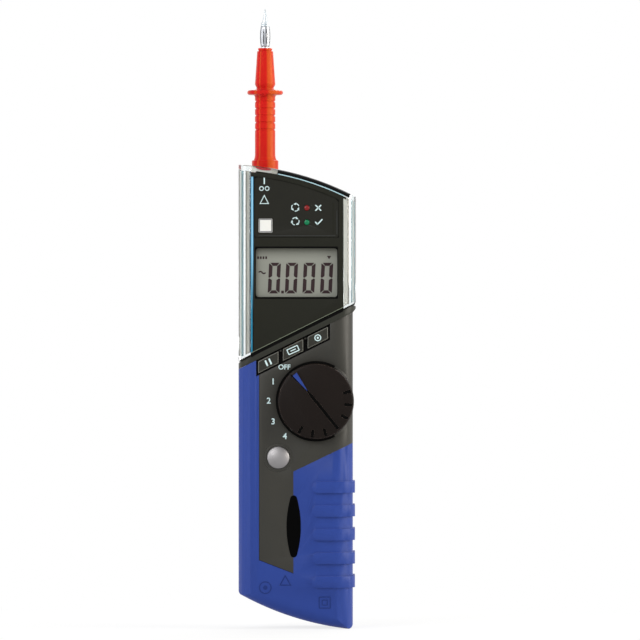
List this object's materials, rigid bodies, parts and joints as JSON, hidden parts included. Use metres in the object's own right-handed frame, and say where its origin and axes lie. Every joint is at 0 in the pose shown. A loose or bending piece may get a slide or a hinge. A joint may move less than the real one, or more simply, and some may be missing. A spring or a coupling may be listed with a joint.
{
  "type": "component tester",
  "caption": "Slim handheld tester with a display under a clear hood, a rotary selector, press keys, a touch electrode and a plug-in probe.",
  "frame": {"origin": "centre of the bounding box in X and Y, at the lowest corner of the case", "axes": "+Z along the stick towards the probe tip, -Y out of the face with the display and the knob, +X to the right of someone facing it"},
  "size_m": [0.048, 0.039, 0.2542],
  "materials": {
    "case_grey": "fine moulded texture",
    "grip_blue": "soft matte overmould",
    "band_grey": "satin moulded",
    "clear_plastic": "polished clear moulding",
    "edge_blue": "satin",
    "module_black": "fine moulded texture",
    "plate_black": "printed foil",
    "white_plastic": "satin",
    "black_gloss": "polished",
    "black_plastic": "satin",
    "knob_black": "fine moulded texture",
    "key_grey": "satin moulded",
    "lcd": "anti-glare polariser film",
    "lamp_red": "tinted lens",
    "lamp_green": "tinted lens",
    "probe_red": "glossy moulded",
    "steel": "turned",
    "nickel": "nickel plated",
    "dome_metal": "satin plated",
    "brass": "turned",
    "copper": "tinned strip",
    "board_green": "solder resist",
    "silicone": "moulded silicone",
    "rotor_white": "acetal",
    "cell_wrap": "printed sleeve",
    "ceramic": "lacquered",
    "rubber_black": "moulded"
  },
  "bodies": {
    "case": {"front_cover": "case_grey", "front_grip": "grip_blue", "rear_cover": "case_grey", "rear_grip": "grip_blue", "case_screws": "steel", "screw_inserts": "brass", "shoulder_band": "band_grey", "hood_seal": "rubber_black", "clear_hood": "clear_plastic", "edge_strip": "edge_blue", "display_housing": "module_black", "display_back": "module_black", "display_screws": "steel", "legend_plate": "plate_black", "square_badge": "white_plastic", "oval_badge": "black_gloss", "lcd_glass": "lcd", "lcd_backlight": "white_plastic", "zebra_strips": "silicone", "fault_lamp": "lamp_red", "ok_lamp": "lamp_green", "display_board": "board_green", "ribbon_link": "copper", "main_board": "board_green", "controller_chip": "black_plastic", "input_resistors": "ceramic", "thermistor": "ceramic", "buzzer": "black_plastic", "key_frame": "black_plastic", "keypad_membrane": "silicone", "key_switches": "white_plastic", "detent_ball": "nickel", "detent_spring": "steel", "electrode_ring": "case_grey", "electrode_spring": "steel", "com_sleeve": "brass", "com_insulator": "black_plastic", "com_lead": "copper", "input_sleeve": "brass", "input_insulator": "black_plastic", "input_lead": "copper", "battery_cells": "cell_wrap", "battery_springs": "nickel", "battery_plates": "nickel"},
    "selector": {"selector_knob": "knob_black", "pointer_insert": "grip_blue", "selector_rotor": "rotor_white", "rotor_contacts": "copper", "rotor_clip": "steel"},
    "left_key": {"left_key": "key_grey"},
    "middle_key": {"middle_key": "key_grey"},
    "right_key": {"right_key": "key_grey"},
    "electrode": {"touch_electrode": "dome_metal"},
    "probe": {"probe_handle": "probe_red", "probe_rod": "steel", "lantern_spring": "nickel"},
    "battery_door": {"battery_door": "case_grey", "door_screw": "steel"}
  },
  "joints": [
    {"name": "selector_turn", "type": "hinge", "parent": "case", "child": "selector", "pos_m": [0.0077, -0.0145, 0.0931], "axis": [0, -1, 0], "range_deg": [0, 96]},
    {"name": "left_key_press", "type": "slide", "parent": "case", "child": "left_key", "axis": [0, 1, 0], "range_m": [0, 0.0008], "stiffness_N_per_m": 500, "springref_m": -0.0008},
    {"name": "middle_key_press", "type": "slide", "parent": "case", "child": "middle_key", "axis": [0, 1, 0], "range_m": [0, 0.0008], "stiffness_N_per_m": 500, "springref_m": -0.0008},
    {"name": "right_key_press", "type": "slide", "parent": "case", "child": "right_key", "axis": [0, 1, 0], "range_m": [0, 0.0008], "stiffness_N_per_m": 500, "springref_m": -0.0008},
    {"name": "electrode_give", "type": "slide", "parent": "case", "child": "electrode", "axis": [0, 1, 0], "range_m": [0, 0.0005], "stiffness_N_per_m": 800, "springref_m": -0.0006},
    {"name": "probe_pull", "type": "slide", "parent": "case", "child": "probe", "axis": [0, 0, 1], "range_m": [0, 0.03]},
    {"name": "door_lift", "type": "slide", "parent": "case", "child": "battery_door", "axis": [0, 1, 0], "range_m": [0, 0.012]}
  ]
}
